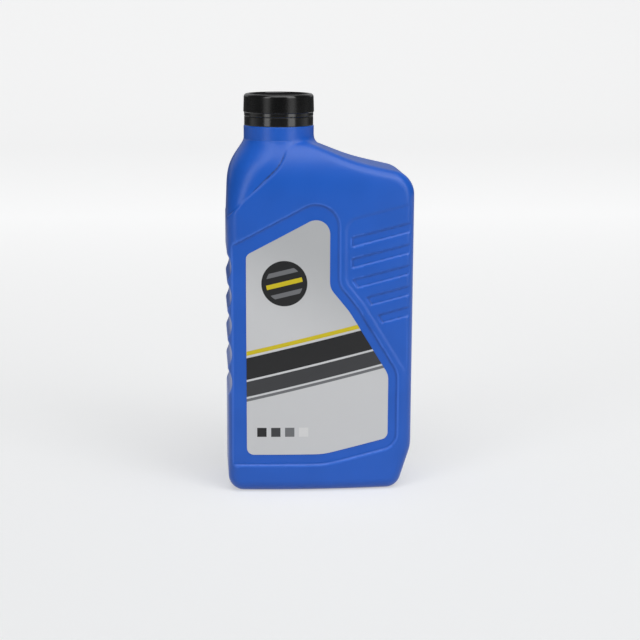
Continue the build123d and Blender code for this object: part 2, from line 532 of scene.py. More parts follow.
@dataclass(frozen=True)
class Bar:
    """A straight bar of ink, placed on the label in millimetres, with its slope in degrees."""

    centre: Point
    length: float
    height: float
    slope: float
    ink: Ink
    crop: Disc | None = None

    def mask(self, press: Press) -> Socket:
        """Mask of the bar, inside its crop if it has one.

        Args:
            press: What prints the bar.

        Returns:
            The mask.
        """
        sizes = {
            "Slope": math.radians(self.slope),
            "Half Length": self.length / 2 * MM,
            "Half Height": self.height / 2 * MM,
        }
        mask = press.mask(press.kit.bar, self.centre, sizes)
        if self.crop is None:
            return mask
        return press.draft.board.math("MULTIPLY", mask, self.crop.mask(press))


@dataclass(frozen=True, kw_only=True)
class PrintedFilm(Finish):
    """Finish of the label: silver film with a painted sheen across it and plain fields of ink,
    placed in millimetres.
    """

    # Silver at the two ends of a painted sheen, darker at the upper right and lighter towards the
    # lower left
    silver_sheen_dark: Colour
    silver_sheen_light: Colour
    sheen_from: Point = (8.0, 140.0)
    sheen_to: Point = (-20.0, 90.0)
    ink_gloss: float = 0.34
    soft_edge: float = 0.06 * MM
    slope: float = 13.5
    bleed: float = 160.0
    spot: Disc = Disc((-21.0, 123.0), 13.0, Ink.BLACK)
    spot_field: float = 10.4
    spot_step: float = 6.4
    spot_bar: float = 2.6
    spot_inks: tuple[Ink, ...] = (Ink.GREY, Ink.YELLOW, Ink.GREY)
    stripes: tuple[tuple[float, float, Ink], ...] = (
        (92.6, 2.4, Ink.YELLOW),
        (83.6, 12.4, Ink.BLACK),
        (71.6, 8.6, Ink.CHARCOAL),
        (65.2, 1.6, Ink.GREY),
    )
    squares: tuple[Ink, ...] = (Ink.BLACK, Ink.CHARCOAL, Ink.GREY, Ink.WHITE)
    square_size: float = 5.4
    square_step: float = 8.0
    first_square: Point = (-34.0, 36.0)

    def layout(self) -> list[Disc | Bar]:
        """Shapes of the print in the order in which they are laid down.

        Returns:
            The shapes.
        """
        x, z = self.spot.centre
        crop = Disc(self.spot.centre, self.spot_field, self.spot.ink)
        shapes: list[Disc | Bar] = [self.spot]
        for step, ink in enumerate(self.spot_inks, start=-1):
            place = (x, z + step * self.spot_step)
            shapes.append(Bar(place, self.bleed, self.spot_bar, self.slope, ink, crop))
        for middle, height, ink in self.stripes:
            shapes.append(Bar((0.0, middle), self.bleed, height, self.slope, ink))
        x, z = self.first_square
        for step, ink in enumerate(self.squares):
            place = (x + step * self.square_step, z)
            shapes.append(Bar(place, self.square_size, self.square_size, 0.0, ink))
        return shapes

    def look(self, draft: Draft, kit: ShaderKit, surface: Node) -> Look:
        """Paint a sheen across the silver and print the shapes over it.

        Args:
            draft: The material.
            kit: The shared shader groups.
            surface: The moulded surface.

        Returns:
            Colour, roughness and height.
        """
        board = draft.board
        # Painted sheen across the silver, from dark at the upper right to light at the lower left
        start, end = (Vector((x, 0.0, z)) * MM for x, z in (self.sheen_from, self.sheen_to))
        span = (end - start).length
        way = (end - start).normalized()
        inputs = {0: draft.position, 1: way}
        along = board.add("ShaderNodeVectorMath", inputs, operation="DOT_PRODUCT").outputs["Value"]
        shade = board.ramp(along, start.dot(way), start.dot(way) + span, 0.0, 1.0)
        colour = board.blend(shade, rgba(self.silver_sheen_dark), rgba(self.silver_sheen_light))
        press = Press(draft, kit, self.soft_edge)
        inked: object = 0.0
        for shape in self.layout():
            mask = shape.mask(press)
            colour = board.blend(mask, colour, rgba(shape.ink.value))
            inked = board.math("MAXIMUM", inked, mask)
        inputs = {0: inked, 2: surface.outputs["Roughness"], 3: self.ink_gloss}
        gloss = board.add("ShaderNodeMix", inputs, data_type="FLOAT").outputs[0]
        return colour, gloss, surface.outputs["Height"]


BLUE_PLASTIC = MouldedPlastic(
    name="blue_plastic",
    deep=(0.010, 0.112, 0.575),
    pale=(0.012, 0.120, 0.610),
    # Painted highlight on outward edges and painted shade in hollows
    lip=(0.040, 0.170, 0.730),
    hollow=(0.003, 0.032, 0.180),
    gloss=(0.30, 0.38),
    wave_size=22 * MM,
    grain_size=0.5 * MM,
    grain_share=0.04,
    relief=0.10 * MM,
    seam_width=0.35 * MM,
    seam_height=1.5,
    neck_line=202.5 * MM,
    neck_line_end=-17.0 * MM,
)
BLACK_PLASTIC = MouldedPlastic(
    name="black_plastic",
    deep=(0.003, 0.003, 0.003),
    pale=(0.005, 0.005, 0.005),
    gloss=(0.14, 0.20),
    wave_size=9 * MM,
    grain_size=0.35 * MM,
    grain_share=0.10,
    relief=0.03 * MM,
    specular=0.72,
)
SATIN_BLACK = replace(BLACK_PLASTIC, name="satin_black", gloss=(0.24, 0.30), specular=0.30)
DULL_BLACK = MouldedPlastic(
    name="dull_black",
    deep=(0.014, 0.014, 0.015),
    pale=(0.018, 0.018, 0.019),
    gloss=(0.75, 0.90),
    wave_size=9 * MM,
    grain_size=0.25 * MM,
    grain_share=0.60,
    relief=0.05 * MM,
    specular=0.0,
)
LINER_FOAM = MouldedPlastic(
    name="liner_foam",
    deep=(0.700, 0.690, 0.650),
    pale=(0.800, 0.790, 0.750),
    gloss=(0.70, 0.85),
    wave_size=3 * MM,
    grain_size=0.3 * MM,
    grain_share=0.8,
    relief=0.08 * MM,
    specular=0.3,
)
LABEL_FILM = PrintedFilm(
    name="label_film",
    # Ends of the painted sheen on the silver
    silver_sheen_dark=(0.512, 0.522, 0.532),
    silver_sheen_light=(0.695, 0.700, 0.710),
    gloss=(0.38, 0.46),
    wave_size=25 * MM,
    grain_size=MM / 1.8,
    grain_share=0.25,
    relief=0.02 * MM,
)


@dataclass(frozen=True)
class Finishes:
    """The materials of the bottle, built once."""

    blue: Material
    black: Material
    satin_black: Material
    dull_black: Material
    foam: Material
    film: Material

    @classmethod
    def build(cls) -> Self:
        """Build every finish.

        Returns:
            The materials.
        """
        kit = ShaderKit.build()
        finishes = (BLUE_PLASTIC, BLACK_PLASTIC, SATIN_BLACK, DULL_BLACK, LINER_FOAM, LABEL_FILM)
        return cls(*(finish.material(kit) for finish in finishes))


def soften(corners: list[Corner], steps: int = 5) -> list[Point]:
    """Round the corners of an open profile.

    A point just outside each rounded corner holds the normals of the flat beside it.

    Args:
        corners: Place and radius of each corner, with radius 0 for a sharp one and at both ends.
        steps: Points along each rounded corner.

    Returns:
        The rounded profile.
    """
    result: list[Point] = []
    for index, (point, radius) in enumerate(corners):
        if radius == 0:
            result.append(point)
            continue
        corner = Vector(point)
        to_last, to_next = (Vector(corners[index + step][0]) - corner for step in (-1, 1))
        back, ahead = to_last.normalized(), to_next.normalized()
        half_angle = back.angle(ahead) / 2
        middle = corner + (back + ahead).normalized() * (radius / math.sin(half_angle))
        reach = radius / math.tan(half_angle)
        start = corner + back * reach - middle
        turn = start.angle_signed(corner + ahead * reach - middle)
        room = reach + 5 * HOLD
        if to_last.length > room:
            result.append(tuple(corner + back * (reach + HOLD)))
        for step in range(steps + 1):
            spoke = start.copy()
            spoke.rotate(Matrix.Rotation(-turn * step / steps, 2))
            result.append(tuple(middle + spoke))
        if to_next.length > room:
            result.append(tuple(corner + ahead * (reach + HOLD)))
    return result


def ring_faces(bm: BMesh, low: list, high: list) -> None:
    """Join two rings of as many points by faces.

    Args:
        bm: The mesh.
        low: First ring, a single point at a pole.
        high: Second ring, a single point at a pole.
    """
    count = max(len(low), len(high))
    for here in range(count):
        ahead = (here + 1) % count
        below = [low[place % len(low)] for place in (here, ahead)]
        above = [high[place % len(high)] for place in (ahead, here)]
        bm.faces.new(dict.fromkeys(below + above))


def lathe(bm: BMesh, profile: list[Point], axis_x: float, angles: list[float]) -> list[list]:
    """Turn a profile about an upright axis.

    Args:
        bm: The mesh that receives the surface.
        profile: Radius and height of each point.
        axis_x: Place of the axis.
        angles: Angles of the points of each ring.

    Returns:
        The rings, from the first point of the profile to the last.
    """
    rings = []
    for radius, height in profile:
        ring = []
        for turn in angles if radius > 0 else angles[:1]:
            x, y = radius * math.cos(turn), radius * math.sin(turn)
            ring.append(bm.verts.new((axis_x + x, y, height)))
        rings.append(ring)
    for low, high in zip(rings, rings[1:]):
        ring_faces(bm, low, high)
    return rings


def turned(profile: list[Point], axis_x: float, segments: int, closed: bool = False) -> BMesh:
    """Make a mesh of a profile that is turned about an upright axis.

    Args:
        profile: Radius and height of each point.
        axis_x: Place of the axis.
        segments: Number of even steps round the axis.
        closed: Whether the last point of the profile is joined to the first.

    Returns:
        The mesh.
    """
    bm = bmesh.new()
    angles = [2 * math.pi * step / segments for step in range(segments)]
    rings = lathe(bm, profile, axis_x, angles)
    if closed:
        ring_faces(bm, rings[-1], rings[0])
    return bm


def add_object(name: str, data: bpy.types.ID) -> Piece:
    """Add an object to the scene.

    Args:
        name: Its name.
        data: Its mesh, light or camera.

    Returns:
        The object.
    """
    piece = bpy.data.objects.new(name, data)
    bpy.context.scene.collection.objects.link(piece)
    return piece


def plain_mesh(name: str, bm: BMesh) -> bpy.types.Mesh:
    """Turn a working mesh into a plain one.

    Args:
        name: Name of the plain mesh.
        bm: The working mesh, which is freed.

    Returns:
        The plain mesh.
    """
    mesh = bpy.data.meshes.new(name)
    bm.to_mesh(mesh)
    bm.free()
    return mesh


def finish_mesh(name: str, bm: BMesh, material: Material, crisp: float = 35.0) -> Piece:
    """Make a closed mesh a smooth-shaded piece of the scene.

    Args:
        name: Name of the piece.
        bm: Its mesh, which is freed.
        material: Its material.
        crisp: Angle in degrees above which an edge stays sharp.

    Returns:
        The piece, at the origin.
    """
    bmesh.ops.recalc_face_normals(bm, faces=bm.faces)
    mesh = plain_mesh(name, bm)
    mesh.materials.clear()
    mesh.materials.append(material)
    mesh.polygons.foreach_set("use_smooth", [True] * len(mesh.polygons))
    mesh.polygons.foreach_set("material_index", [0] * len(mesh.polygons))
    mesh.set_sharp_from_angle(angle=math.radians(crisp))
    return add_object(name, mesh)


def evaluated(piece: Piece) -> bpy.types.Mesh:
    """Plain mesh of an object with its modifiers carried out."""
    depsgraph = bpy.context.evaluated_depsgraph_get()
    return bpy.data.meshes.new_from_object(piece.evaluated_get(depsgraph))


def run_tree(name: str, tree: Tree, values: dict[str, object]) -> BMesh:
    """Carry out a geometry tree with its inputs set.

    Args:
        name: Name for the working object.
        tree: The geometry tree.
        values: Input values by name.

    Returns:
        The resulting mesh.
    """
    worker = add_object(name, bpy.data.meshes.new(name))
    modifier = worker.modifiers.new(name, "NODES")
    modifier.node_group = tree
    for item in tree.interface.items_tree:
        if item.item_type == "SOCKET" and item.in_out == "INPUT" and item.name in values:
            modifier[item.identifier] = values[item.name]
    mesh = evaluated(worker)
    worker.modifiers.remove(modifier)
    bpy.data.objects.remove(worker)
    bm = bmesh.new()
    bm.from_mesh(mesh)
    bpy.data.meshes.remove(mesh)
    return bm


def place_piece(piece: Piece, body: str, slot: str, *nodes: str) -> None:
    """Tie a piece to the frame.

    Args:
        piece: The piece.
        body: The body that it moves with.
        slot: Not used.
        nodes: The solids that it stands for.
    """
    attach(piece, body)
    if nodes:
        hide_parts(*nodes)
    log.info("%s: %d faces on %s", piece.name, len(piece.data.polygons), body)


def start_tree(name: str, takes: Sockets) -> Group:
    """Start a geometry tree that also takes an axis and a material.

    Args:
        name: Name of the tree.
        takes: Its other inputs.

    Returns:
        The empty group.
    """
    takes = SocketKind.VECTOR.named("Axis") | takes | SocketKind.MATERIAL.named("Material")
    return Group.new(name, "GeometryNodeTree", takes, SocketKind.GEOMETRY.named("Geometry"))


def dress_tree(group: Group, geometry: Socket) -> Tree:
    """End a geometry tree with real geometry in its material.

    Args:
        group: The group of the tree.
        geometry: What the tree has built.

    Returns:
        The finished tree.
    """
    real = group.board.add("GeometryNodeRealizeInstances", {"Geometry": geometry})
    inputs = {"Geometry": real.outputs["Geometry"], "Material": group.take("Material")}
    dressed = group.board.add("GeometryNodeSetMaterial", inputs)
    group.give("Geometry", dressed.outputs["Geometry"])
    return group.board.tree


def thread_tree() -> Tree:
    """Geometry tree for a round screw thread that runs out at both ends.

    Returns:
        The tree.
    """
    steps_per_turn, ridge_sides, tip_share = 72, 10, 0.15
    numbers = ("Start Angle", "Radius", "Pitch", "Turns", "Ridge", "Run Out")
    group = start_tree("screw_thread", SocketKind.FLOAT.named(*numbers))
    board, take = group.board, group.take
    inputs = {
        "Resolution": steps_per_turn,
        "Rotations": take("Turns"),
        "Start Radius": take("Radius"),
        "End Radius": take("Radius"),
        "Height": board.math("MULTIPLY", take("Pitch"), take("Turns")),
        "Reverse": False,
    }
    spiral = board.add("GeometryNodeCurveSpiral", inputs)
    turn = board.add("ShaderNodeCombineXYZ", {"Z": take("Start Angle")})
    inputs = {
        "Geometry": spiral.outputs["Curve"],
        "Translation": take("Axis"),
        "Rotation": turn.outputs[0],
    }
    placed = board.add("GeometryNodeTransform", inputs)
    along = board.add("GeometryNodeSplineParameter").outputs["Factor"]
    to_end = board.math("MINIMUM", along, board.math("SUBTRACT", 1.0, along))
    inputs = {"Resolution": ridge_sides, "Radius": take("Ridge")}
    profile = board.add("GeometryNodeCurvePrimitiveCircle", inputs)
    inputs = {
        "Curve": placed.outputs["Geometry"],
        "Profile Curve": profile.outputs["Curve"],
        "Scale": board.ramp(to_end, 0.0, take("Run Out"), tip_share, 1.0),
        "Fill Caps": True,
    }
    tube = board.add("GeometryNodeCurveToMesh", inputs)
    return dress_tree(group, tube.outputs["Mesh"])


def bar_ring_tree() -> Tree:
    """Geometry tree for upright bars set evenly round an axis.

    Returns:
        The tree.
    """
    numbers = SocketKind.INT.named("Count", "Bar Sides") | SocketKind.FLOAT.named("Radius")
    group = start_tree("bar_ring", numbers | SocketKind.VECTOR.named("Bar Size"))
    board, take = group.board, group.take
    inputs = {"Vertices": take("Count"), "Radius": take("Radius")}
    points = board.add("GeometryNodeMeshCircle", inputs, fill_type="NONE")
    step = board.math("DIVIDE", 2 * math.pi, take("Count"))
    turn = board.math("MULTIPLY", board.add("GeometryNodeInputIndex").outputs[0], step)
    inputs = {"Vertices": take("Bar Sides"), "Radius": 1.0, "Depth": 1.0}
    column = board.add("GeometryNodeMeshCylinder", inputs)
    inputs = {"Geometry": column.outputs["Mesh"], "Scale": take("Bar Size")}
    shaped = board.add("GeometryNodeTransform", inputs)
    inputs = {
        "Points": points.outputs["Mesh"],
        "Instance": shaped.outputs["Geometry"],
        "Rotation": board.add("ShaderNodeCombineXYZ", {"Z": turn}).outputs[0],
    }
    bars = board.add("GeometryNodeInstanceOnPoints", inputs)
    inputs = {"Geometry": bars.outputs["Instances"], "Translation": take("Axis")}
    placed = board.add("GeometryNodeTransform", inputs)
    return dress_tree(group, placed.outputs["Geometry"])


@dataclass
class ScrewForm:
    """The thread that the neck and the cap share, about the axis of the neck."""

    axis_x: float
    pitch: float = 4.23 * MM
    ridge: float = 0.8 * MM
    run_out: float = 0.08
    crisp: float = 60.0
    tree: Tree = field(default_factory=thread_tree)

    def build(
        self,
        name: str,
        radius: float,
        start: float,
        turns: float,
        angle: float,
        material: Material,
    ) -> Piece:
        """Build one thread.

        Args:
            name: Name of the piece.
            radius: Radius of the middle of its ridge.
            start: Height at which it starts.
            turns: Number of turns.
            angle: Angle at which it starts, in degrees.
            material: Its material.

        Returns:
            The thread.
        """
        values = {
            "Axis": (self.axis_x, 0.0, start),
            "Start Angle": math.radians(angle),
            "Radius": radius,
            "Pitch": self.pitch,
            "Turns": turns,
            "Ridge": self.ridge,
            "Run Out": self.run_out,
            "Material": material,
        }
        return finish_mesh(name, run_tree(name, self.tree, values), material, self.crisp)


def split_skins(node: str) -> dict[Skin, BMesh]:
    """Take the mesh of a hollow solid apart at its rim.

    Args:
        node: The solid, open at the top.

    Returns:
        Its outer and inner skin, each open at the rim.
    """
    bm = bmesh.new()
    bm.from_mesh(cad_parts[node].data)
    bmesh.ops.remove_doubles(bm, verts=bm.verts, dist=SPECK)
    top = max(vert.co.z for vert in bm.verts)
    rim = [face for face in bm.faces if all(vert.co.z > top - SPECK for vert in face.verts)]
    bmesh.ops.delete(bm, geom=rim, context="FACES")
    bm.verts.ensure_lookup_table()
    reached = {min(bm.verts, key=lambda vert: vert.co.z)}
    waiting = list(reached)
    while waiting:
        vert = waiting.pop()
        for edge in vert.link_edges:
            other = edge.other_vert(vert)
            if other not in reached:
                reached.add(other)
                waiting.append(other)
    outer_marks = [vert in reached for vert in bm.verts]
    skins = {}
    for skin in Skin:
        part = bm.copy()
        part.verts.ensure_lookup_table()
        wanted = skin is Skin.OUTER
        unwanted = [vert for vert, outer in zip(part.verts, outer_marks) if outer != wanted]
        bmesh.ops.delete(part, geom=unwanted, context="VERTS")
        skins[skin] = part
    bm.free()
    return skins


def angle_round(vert: bmesh.types.BMVert, axis_x: float) -> float:
    """Angle of a point round the neck."""
    return math.atan2(vert.co.y, vert.co.x - axis_x)


def open_loop(bm: BMesh, axis_x: float) -> list[bmesh.types.BMVert]:
    """Points of the open edge of a mesh, in order round the neck."""
    verts = {vert for edge in bm.edges if edge.is_boundary for vert in edge.verts}
    return sorted(verts, key=lambda vert: angle_round(vert, axis_x))


def trim_above(bm: BMesh, height: float) -> None:
    """Cut away what lies above a height.

    Args:
        bm: The mesh.
        height: The height.
    """
    bmesh.ops.bisect_plane(
        bm,
        geom=[*bm.verts, *bm.edges, *bm.faces],
        dist=ON_PLANE,
        plane_co=(0, 0, height),
        plane_no=(0, 0, 1),
        clear_outer=True,
    )


@dataclass(frozen=True)
class PaintedEdgeLight:
    """How strongly the painted highlight on outward edges and the painted shade in inward bends
    show in one part of the skin.
    """

    lip: float
    hollow: float
    left: float = -math.inf
    right: float = math.inf
    low: float = -math.inf
    lean: float = 0.0

    def hold(self, place: Vector) -> bool:
        """Whether a place lies in this part, whose lower limit may fall away to the left."""
        fall = self.lean * (self.right - place.x) if self.lean else 0.0
        return self.left < place.x < self.right and place.z > self.low - fall

    def share(self, bend: float) -> float:
        """Signed strength of the painted light at a bend: painted highlight outwards above 0,
        painted shade inwards below.
        """
        return self.lip if bend > 0 else -self.hollow


@dataclass
class BlownBottle:
    """The bottle: a blown skin softened from the solid, with a turned neck finish."""

    axis_x: float
    rim: float
    voxel: float = 0.42 * MM
    smooth_share: float = 0.5
    passes: int = 18
    shoulder_passes: int = 170
    shoulder_left: Point = (-15.0 * MM, -8.0 * MM)
    shoulder_right: Point = (28.0 * MM, 44.0 * MM)
    shoulder_low: Point = (174.0 * MM, 186.0 * MM)
    shoulder_high: Point = (203.0 * MM, 208.2 * MM)
    kept_share: float = 0.14
    bend_passes: int = 8
    bend_range: Point = (60.0, 240.0)
    # How strong the painted highlight and painted shade are on the body, the grip and the crease
    body_edge_light: PaintedEdgeLight = PaintedEdgeLight(lip=1.0, hollow=0.30)
    grip_edge_light: PaintedEdgeLight = PaintedEdgeLight(lip=0.25, hollow=0.40, left=24 * MM, low=95 * MM)
    crease_edge_light: PaintedEdgeLight = PaintedEdgeLight(
        lip=0.2, hollow=1.0, right=-15 * MM, low=168 * MM, lean=0.25
    )
    collar_radius: float = 20.05 * MM
    collar_top: float = 210.2 * MM
    collar_gap: float = 0.25 * MM
    trim: float = 208.6 * MM
    throat_foot: float = 202.4 * MM
    throat_gap: float = 0.1 * MM
    throat_top: float = 208.2 * MM
    throat_radius: float = 19.1 * MM
    bore_radius: float = 15.4 * MM
    finish_radius: float = 17.5 * MM
    bead_radius: float = 18.4 * MM
    bead_lift: float = 1.5 * MM
    bead_height: float = 1.2 * MM
    bead_slope: float = 0.9 * MM
    thread_drop: float = 9.0 * MM
    thread_turns: float = 1.6
    thread_angle: float = 200.0

    def mark_shoulder(self, worker: Piece) -> str:
        """Mark the part of the skin that rolls from the neck over the sloping shoulder.

        Args:
            worker: The object that carries the skin.

        Returns:
            Name of the vertex group.
        """
        group = worker.vertex_groups.new(name="shoulder")
        for vert in worker.data.vertices:
            x, _, z = vert.co
            rise = smooth_step(*self.shoulder_low, z) - smooth_step(*self.shoulder_high, z)
            width = smooth_step(*self.shoulder_left, x) - smooth_step(*self.shoulder_right, x)
            weight = rise * width
            if weight > 0:
                group.add([vert.index], weight, "REPLACE")
        return group.name

    def edge_light_at(self, place: Vector) -> PaintedEdgeLight:
        """Painted edge light at a place on the skin: that of the grip, the crease or the rest of
        the body.
        """
        local = (self.grip_edge_light, self.crease_edge_light)
        return next((marks for marks in local if marks.hold(place)), self.body_edge_light)

    def paint_edge_light(self, mesh: bpy.types.Mesh) -> None:
        """Store the painted light at each point from how sharply the skin bends: painted highlight
        outwards above 0, painted shade inwards below.

        Args:
            mesh: The skin, which receives the marks.
        """
        count = len(mesh.vertices)
        places = [vert.co for vert in mesh.vertices]
        normals = [vert.normal for vert in mesh.vertices]
        pairs = [tuple(edge.vertices) for edge in mesh.edges]
        bends = [0.0] * count
        meets = [0] * count
        for first, second in pairs:
            span = places[first] - places[second]
            scale = 2 / span.length_squared
            bends[first] += scale * span.dot(normals[first])
            bends[second] -= scale * span.dot(normals[second])
            meets[first] += 1
            meets[second] += 1
        bends = [bend / meet for bend, meet in zip(bends, meets)]
        for _ in range(self.bend_passes):
            sums = [0.0] * count
            for first, second in pairs:
                sums[first] += bends[second]
                sums[second] += bends[first]
            bends = [(bend + total / meet) / 2 for bend, total, meet in zip(bends, sums, meets)]
        # Painted highlight where the skin bends outwards, painted shade where it bends inwards
        marks = [
            self.edge_light_at(place).share(bend) * smooth_step(*self.bend_range, abs(bend))
            for place, bend in zip(places, bends)
        ]
        mesh.attributes.new(PAINTED_EDGE_LIGHT, "FLOAT", "POINT").data.foreach_set("value", marks)

    def soft_skin(self, skin: BMesh) -> BMesh:
        """Remesh the outer skin evenly and soften its edges, as blowing leaves them.

        Args:
            skin: The outer skin, open at the rim, which is freed.

        Returns:
            The soft skin, closed.
        """
        bmesh.ops.holes_fill(skin, edges=[edge for edge in skin.edges if edge.is_boundary])
        worker = add_object("blown_skin", plain_mesh("blown_skin", skin))
        remesh = worker.modifiers.new("even", "REMESH")
        remesh.mode = "VOXEL"
        remesh.voxel_size = self.voxel
        even = evaluated(worker)
        worker.modifiers.remove(remesh)
        worker.data = even
        shoulder = self.mark_shoulder(worker)
        for passes, group in ((self.passes, ""), (self.shoulder_passes, shoulder)):
            smooth = worker.modifiers.new("soft", "SMOOTH")
            smooth.factor = self.smooth_share
            smooth.iterations = passes
            smooth.vertex_group = group
        soft = evaluated(worker)
        worker.modifiers.clear()
        self.paint_edge_light(soft)
        worker.data = soft
        worker.modifiers.new("thin", "DECIMATE").ratio = self.kept_share
        result = bmesh.new()
        result.from_mesh(evaluated(worker))
        bpy.data.objects.remove(worker)
        return result

    def finish_profile(self) -> list[Point]:
        """Profile of the neck from the collar over the rim and down the bore.

        Returns:
            Radius and height of each point.
        """
        bead_foot = self.collar_top + self.bead_lift
        bead_top = bead_foot + self.bead_height
        corners = [
            ((self.collar_radius, self.trim + self.collar_gap), 0),
            ((self.collar_radius, self.collar_top), 0.5 * MM),
            ((self.finish_radius, self.collar_top), 0.3 * MM),
            ((self.finish_radius, bead_foot), 0.2 * MM),
            ((self.bead_radius, bead_foot), 0.2 * MM),
            ((self.bead_radius, bead_top - self.bead_slope), 0.2 * MM),
            ((self.finish_radius, bead_top), 0.2 * MM),
            ((self.finish_radius, self.rim), 0.6 * MM),
            ((self.bore_radius, self.rim), 0.3 * MM),
            ((self.bore_radius, self.throat_top), 1.5 * MM),
            ((self.throat_radius, self.throat_foot + self.throat_gap), 0),
        ]
        return soften(corners)

    def build(self, finishes: Finishes, screw: ScrewForm) -> None:
        """Build the bottle and its thread.

        Args:
            finishes: The materials.
            screw: The thread form.
        """
        skins = split_skins("bottle")
        bm = self.soft_skin(skins[Skin.OUTER])
        trim_above(bm, self.trim)
        collar = open_loop(bm, self.axis_x)
        angles = [angle_round(vert, self.axis_x) for vert in collar]
        rings = lathe(bm, self.finish_profile(), self.axis_x, angles)
        ring_faces(bm, collar, rings[0])
        inner = skins[Skin.INNER]
        trim_above(inner, self.throat_foot)
        mesh = plain_mesh("inner_skin", inner)
        bm.from_mesh(mesh)
        bpy.data.meshes.remove(mesh)
        bmesh.ops.bridge_loops(bm, edges=[edge for edge in bm.edges if edge.is_boundary])
        shell = finish_mesh("bottle_shell", bm, finishes.blue)
        place_piece(shell, "bottle", "blue_plastic", "bottle")
        thread = screw.build(
            "neck_thread",
            self.finish_radius,
            self.rim - self.thread_drop,
            self.thread_turns,
            self.thread_angle,
            finishes.blue,
        )
        place_piece(thread, "bottle", "blue_plastic")


@dataclass
class ScrewCap:
    """The cap: a turned shell with a satin skirt outside and a thread inside."""

    axis_x: float
    bottom: float
    top: float
    segments: int = 160
    corner_steps: int = 7
    rim_radius: float = 19.75 * MM
    rim_height: float = 2.0 * MM
    rim_slope: float = 0.3 * MM
    skirt_radius: float = 20.15 * MM
    top_radius: float = 19.85 * MM
    bore_radius: float = 18.9 * MM
    top_thickness: float = 1.6 * MM
    edge_radius: float = 1.7 * MM
    dish_radius: float = 17.2 * MM
    dish_depth: float = 0.6 * MM
    dish_slope: float = 0.6 * MM
    panel_thickness: float = 0.2 * MM
    skirt_proud: float = 0.03 * MM
    skirt_depth: float = 0.3 * MM
    thread_lift: float = 1.6 * MM
    thread_turns: float = 1.4
    thread_angle: float = 20.0

    def profile(self) -> list[Point]:
        """Profile of the shell from the middle of its ceiling round to the middle of its top.

        Returns:
            Radius and height of each point.
        """
        ceiling = self.top - self.top_thickness
        shelf = self.bottom + self.rim_height
        sink = self.top - self.dish_depth - self.panel_thickness / 2
        skirt = self.skirt_radius - self.skirt_proud
        corners = [
            ((0.0, ceiling), 0),
            ((self.bore_radius, ceiling), 0.3 * MM),
            ((self.bore_radius, self.bottom), 0.25 * MM),
            ((self.rim_radius, self.bottom), 0.25 * MM),
            ((self.rim_radius, shelf), 0.15 * MM),
            ((skirt, shelf + self.rim_slope), 0.15 * MM),
            ((self.top_radius - self.skirt_proud, self.top), self.edge_radius),
            ((self.dish_radius + self.dish_slope, self.top), 0.25 * MM),
            ((self.dish_radius, sink), 0.4 * MM),
            ((0.0, sink), 0),
        ]
        return soften(corners, self.corner_steps)

    def panel_profile(self) -> list[Point]:
        """Profile of the dull panel, from the middle of its back to the middle of its face.

        Returns:
            Radius and height of each point.
        """
        face = self.top - self.dish_depth
        back = face - self.panel_thickness
        return [(0.0, back), (self.dish_radius, back), (self.dish_radius, face), (0.0, face)]

    def skirt_profile(self) -> list[Point]:
        """Profile of the satin skirt, from its foot up its outside and back down.

        Returns:
            Radius and height of each point.
        """
        foot = self.bottom + self.rim_height + self.rim_slope
        head = self.top - self.edge_radius
        taper = (self.skirt_radius - self.top_radius) / (self.top - foot)
        outside = [(self.skirt_radius, foot), (self.skirt_radius - taper * (head - foot), head)]
        inside = [(radius - self.skirt_depth, height) for radius, height in reversed(outside)]
        return outside + inside

    def build(self, finishes: Finishes, screw: ScrewForm) -> None:
        """Build the shell, the dull panel in its top, its satin skirt and its thread.

        Args:
            finishes: The materials.
            screw: The thread form.
        """
        bm = turned(self.profile(), self.axis_x, self.segments)
        shell = finish_mesh("cap_shell", bm, finishes.black)
        place_piece(shell, "cap", "black_plastic", "screw_cap")
        bm = turned(self.panel_profile(), self.axis_x, self.segments)
        place_piece(finish_mesh("cap_panel", bm, finishes.dull_black), "cap", "black_plastic")
        bm = turned(self.skirt_profile(), self.axis_x, self.segments, closed=True)
        place_piece(finish_mesh("cap_skirt", bm, finishes.satin_black), "cap", "black_plastic")
        thread = screw.build(
            "cap_thread",
            self.bore_radius,
            self.bottom + self.thread_lift,
            self.thread_turns,
            self.thread_angle,
            finishes.black,
        )
        place_piece(thread, "cap", "black_plastic")


